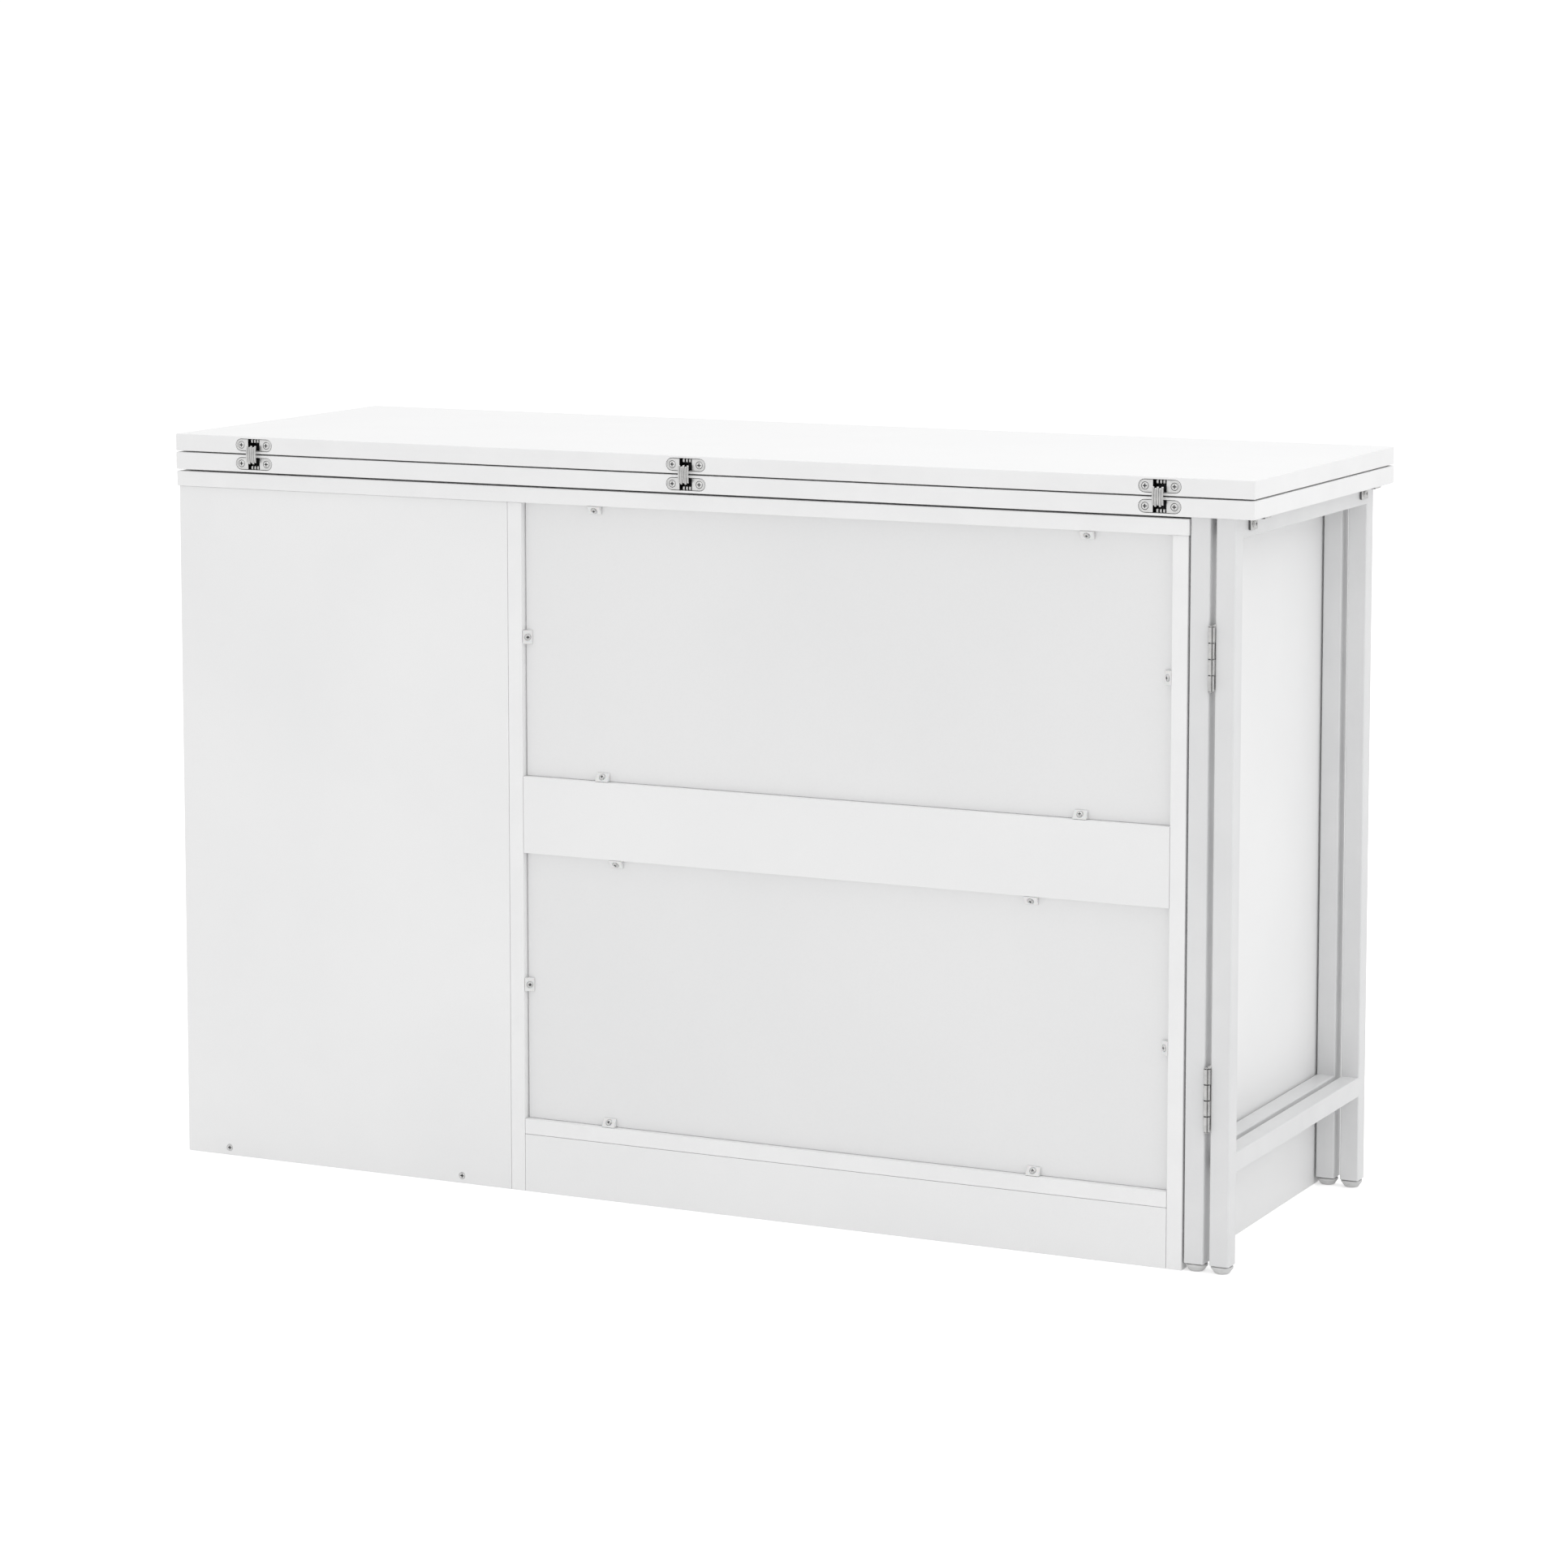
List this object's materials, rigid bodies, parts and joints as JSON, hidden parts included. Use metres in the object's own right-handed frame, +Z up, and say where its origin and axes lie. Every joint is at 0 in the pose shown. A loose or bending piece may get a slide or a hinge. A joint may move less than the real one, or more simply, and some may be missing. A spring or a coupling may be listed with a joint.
{
  "type": "storage cabinet with sliding flip-top table",
  "caption": "Low open-shelf cabinet with a doubled table top that slides along it and folds open onto a swinging leg frame.",
  "frame": {"origin": "on the floor, at the middle of the object's box as it stands closed", "axes": "+Z up; -Y is the cabinet's open front; +Y is the rear with the back panels and the link hinges; +X is the end with the open end shelves; -X is the end with the two leg frames"},
  "size_m": [1.2, 0.4142, 0.7679],
  "materials": {
    "white_melamine": "satin white melamine on particle board, edges banded",
    "white_hardboard": "thin painted hardboard, satin",
    "white_plastic": "moulded white plastic",
    "white_powder_coat": "white powder coat on square steel tube",
    "bright_nickel": "bright nickel plate",
    "zinc_screw": "dark zinc plate"
  },
  "bodies": {
    "cabinet": {"bottom_shelf": "white_melamine", "cabinet_top": "white_melamine", "clip_bottom_1": "white_plastic", "clip_bottom_2": "white_plastic", "clip_divider_1": "white_plastic", "clip_divider_2": "white_plastic", "clip_end_1": "white_plastic", "clip_end_2": "white_plastic", "clip_mid_lower_1": "white_plastic", "clip_mid_lower_2": "white_plastic", "clip_mid_upper_1": "white_plastic", "clip_mid_upper_2": "white_plastic", "clip_top_1": "white_plastic", "clip_top_2": "white_plastic", "divider_panel": "white_melamine", "end_panel": "white_melamine", "front_plinth": "white_melamine", "glide_strip_front": "white_plastic", "glide_strip_rear": "white_plastic", "guide_block_1": "white_plastic", "guide_block_2": "white_plastic", "lower_back_panel": "white_hardboard", "middle_shelf": "white_melamine", "rear_mid_rail": "white_melamine", "rear_plinth": "white_melamine", "tower_bottom_board": "white_melamine", "tower_front_panel": "white_melamine", "tower_rear_panel": "white_melamine", "tower_screw_1": "zinc_screw", "tower_screw_2": "zinc_screw", "tower_shelf_lower": "white_melamine", "tower_shelf_upper": "white_melamine", "upper_back_panel": "white_hardboard"},
    "table": {"butt_hinge_fixed_leaf_lower": "bright_nickel", "butt_hinge_fixed_leaf_upper": "bright_nickel", "butt_hinge_pin_lower": "bright_nickel", "butt_hinge_pin_upper": "bright_nickel", "fixed_frame": "white_powder_coat", "fixed_frame_foot_front": "white_plastic", "fixed_frame_foot_rear": "white_plastic", "lower_hinge_cup_leg": "bright_nickel", "lower_hinge_cup_middle": "bright_nickel", "lower_hinge_cup_tower": "bright_nickel", "lower_leaf": "white_melamine"},
    "gate": {"butt_hinge_moving_leaf_lower": "bright_nickel", "butt_hinge_moving_leaf_upper": "bright_nickel", "gate_bracket_front": "bright_nickel", "gate_bracket_rear": "bright_nickel", "gate_frame": "white_powder_coat", "gate_frame_foot_front": "white_plastic", "gate_frame_foot_rear": "white_plastic"},
    "hinge_links": {"hinge_link_leg": "bright_nickel", "hinge_link_middle": "bright_nickel", "hinge_link_tower": "bright_nickel"},
    "flip_leaf": {"upper_hinge_cup_leg": "bright_nickel", "upper_hinge_cup_middle": "bright_nickel", "upper_hinge_cup_tower": "bright_nickel", "upper_leaf": "white_melamine"}
  },
  "joints": [
    {"name": "top_slide", "type": "slide", "parent": "cabinet", "child": "table", "axis": [-1, 0, 0], "range_m": [0, 0.6]},
    {"name": "leaf_flip", "type": "hinge", "parent": "table", "child": "flip_leaf", "pos_m": [0, 0.2014, 0.7492], "axis": [-1, 0, 0], "range_deg": [0, 180]},
    {"name": "link_fold", "type": "hinge", "parent": "table", "child": "hinge_links", "pos_m": [0, 0.2014, 0.7492], "axis": [-1, 0, 0], "range_deg": [0, 90]},
    {"name": "gate_swing", "type": "hinge", "parent": "table", "child": "gate", "pos_m": [-0.557, 0.1989, 0.38], "axis": [0, 0, -1], "range_deg": [0, 180]}
  ],
  "couplings": [
    {"joint": "link_fold", "follows": "leaf_flip", "ratio": 0.5}
  ]
}
